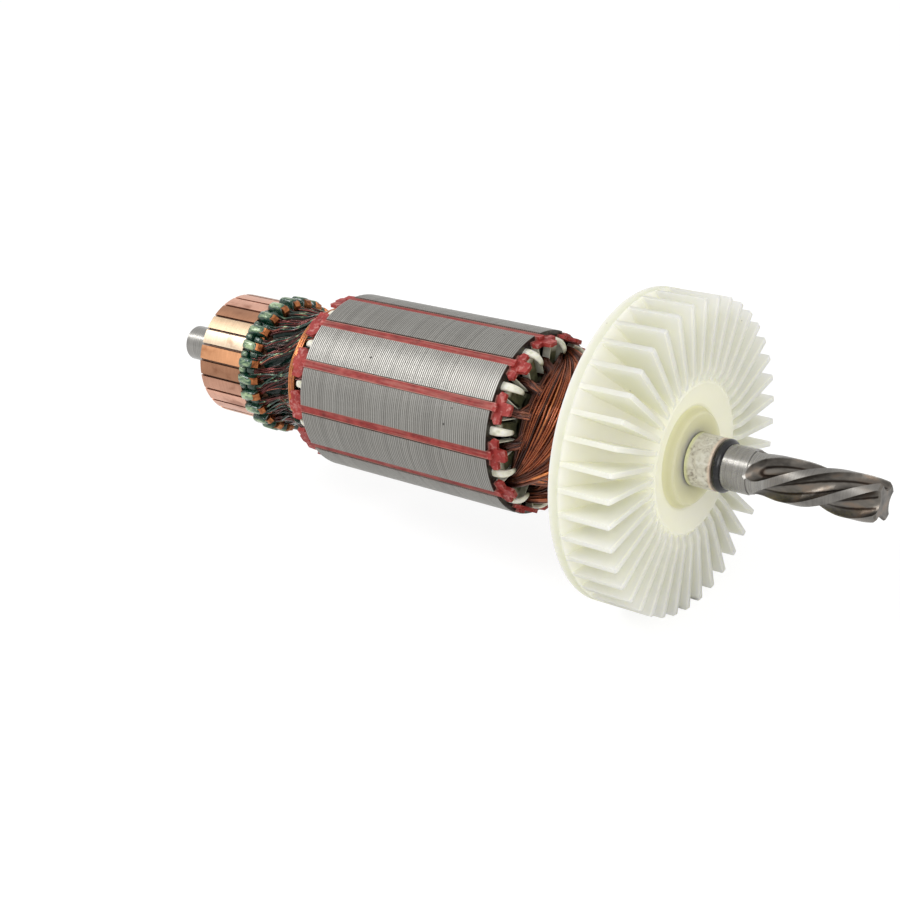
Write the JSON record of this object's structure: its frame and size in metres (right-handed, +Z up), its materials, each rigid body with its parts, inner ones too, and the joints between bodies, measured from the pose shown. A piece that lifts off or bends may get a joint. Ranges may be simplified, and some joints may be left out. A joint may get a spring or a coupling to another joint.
{
  "type": "motor armature",
  "caption": "Wound armature of a hand tool's universal motor: slotted core with coils, hooked commutator, cooling fan and a shaft that ends in a helical pinion.",
  "frame": {"origin": "centre of the bearing seat at the drive end, on the shaft's axis", "axes": "+X along the shaft towards the pinion; +Z up, through the middle of a core slot"},
  "size_m": [0.196, 0.0706, 0.0706],
  "materials": {
    "ground_steel": "ground bright on the seats, dark and oily in the flutes",
    "sleeve_insulation": "marbled off-white resin with dark specks",
    "stack_steel": "ground edges of thin sheets, with fine lines round the stack",
    "slot_paper": "plain insulating paper",
    "ivory_end_plate": "moulded",
    "enamelled_copper": "copper wire in clear brown enamel, gloss varnish",
    "red_fibre": "pressed fibre",
    "commutator_moulding": "dark moulding compound",
    "commutator_copper": "turned hard copper",
    "green_varnish": "thick green impregnating varnish",
    "varnished_wire": "enamelled copper wire under varnish",
    "ivory_nylon": "moulded, slightly translucent",
    "black_rubber": "smooth"
  },
  "bodies": {
    "root": {"shaft": "ground_steel", "shaft_insulation": "sleeve_insulation", "core_laminations": "stack_steel", "slot_liners": "slot_paper", "end_insulator_fan_side": "ivory_end_plate", "end_insulator_lead_side": "ivory_end_plate", "coil_01": "enamelled_copper", "coil_02": "enamelled_copper", "coil_03": "enamelled_copper", "coil_04": "enamelled_copper", "coil_05": "enamelled_copper", "coil_06": "enamelled_copper", "coil_07": "enamelled_copper", "coil_08": "enamelled_copper", "coil_09": "enamelled_copper", "coil_10": "enamelled_copper", "coil_11": "enamelled_copper", "coil_12": "enamelled_copper", "slot_wedge_01": "red_fibre", "slot_wedge_02": "red_fibre", "slot_wedge_03": "red_fibre", "slot_wedge_04": "red_fibre", "slot_wedge_05": "red_fibre", "slot_wedge_06": "red_fibre", "slot_wedge_07": "red_fibre", "slot_wedge_08": "red_fibre", "slot_wedge_09": "red_fibre", "slot_wedge_10": "red_fibre", "slot_wedge_11": "red_fibre", "slot_wedge_12": "red_fibre", "commutator_hub": "commutator_moulding", "commutator_bar_01": "commutator_copper", "commutator_bar_02": "commutator_copper", "commutator_bar_03": "commutator_copper", "commutator_bar_04": "commutator_copper", "commutator_bar_05": "commutator_copper", "commutator_bar_06": "commutator_copper", "commutator_bar_07": "commutator_copper", "commutator_bar_08": "commutator_copper", "commutator_bar_09": "commutator_copper", "commutator_bar_10": "commutator_copper", "commutator_bar_11": "commutator_copper", "commutator_bar_12": "commutator_copper", "commutator_bar_13": "commutator_copper", "commutator_bar_14": "commutator_copper", "commutator_bar_15": "commutator_copper", "commutator_bar_16": "commutator_copper", "commutator_bar_17": "commutator_copper", "commutator_bar_18": "commutator_copper", "commutator_bar_19": "commutator_copper", "commutator_bar_20": "commutator_copper", "commutator_bar_21": "commutator_copper", "commutator_bar_22": "commutator_copper", "commutator_bar_23": "commutator_copper", "commutator_bar_24": "commutator_copper", "varnished_lead_bed": "green_varnish", "commutator_leads": "varnished_wire", "cooling_fan": "ivory_nylon", "rubber_ring": "black_rubber"}
  },
  "joints": []
}
